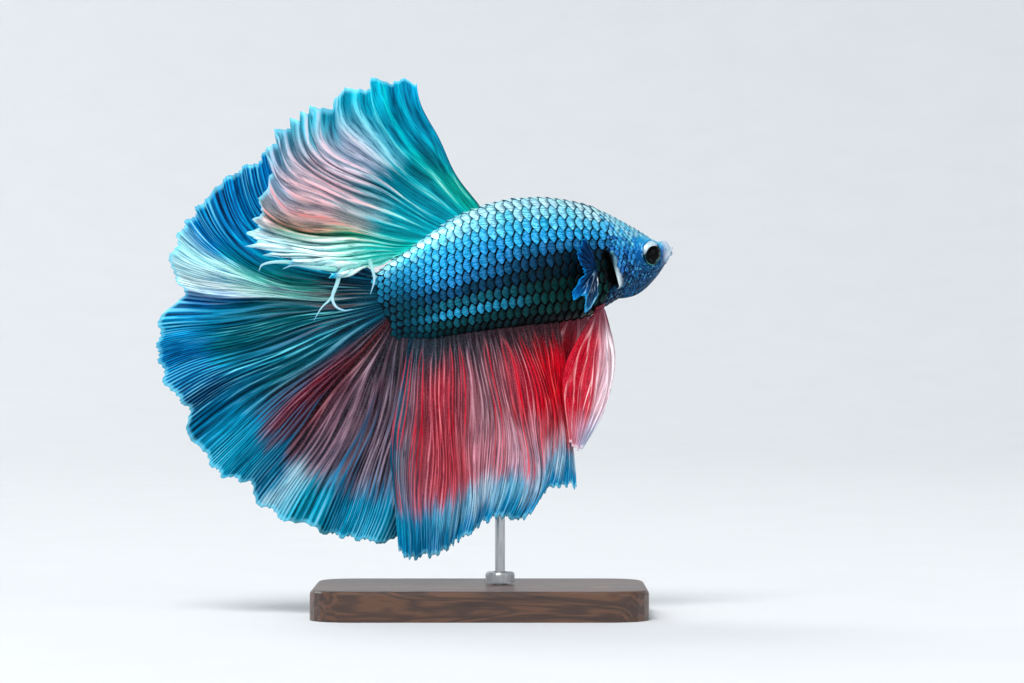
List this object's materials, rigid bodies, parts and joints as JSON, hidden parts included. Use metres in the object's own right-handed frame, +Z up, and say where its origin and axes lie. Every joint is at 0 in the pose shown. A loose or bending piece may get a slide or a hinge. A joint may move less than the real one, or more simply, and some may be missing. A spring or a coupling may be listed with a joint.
{
  "type": "betta fish on a display stand",
  "caption": "Male halfmoon betta fish with spread, folded fins in blue, teal and red, held level on a rod over a flat base.",
  "frame": {"origin": "middle of the underside of the stand's base", "axes": "+Z up; the head points to +X, turned a little towards +Y; the fish's right flank faces -Y"},
  "size_m": [0.0776, 0.034, 0.0807],
  "materials": {
    "skin": "moist scaled skin in teal and blue, with pearly scale centres and dark seams",
    "lip": "moist pale lip",
    "fin": "satin rayed membrane in blue, teal, white and red",
    "eye": "wet black pupil in a silvery blue iris",
    "base": "satin black lacquer",
    "steel": "fine brushed"
  },
  "bodies": {
    "root": {"anal_fin": "fin", "caudal_fin": "fin", "dorsal_fin": "fin", "eye_left": "eye", "eye_right": "eye", "gill_cover_left": "skin", "gill_cover_right": "skin", "head": "skin", "jaw_lower": "lip", "pectoral_fin_left": "fin", "pectoral_fin_right": "fin", "pelvic_fin_left": "fin", "pelvic_fin_right": "fin", "stand_base": "base", "stand_collar": "steel", "stand_rod": "steel", "tail_base": "skin", "trunk": "skin"}
  },
  "joints": []
}
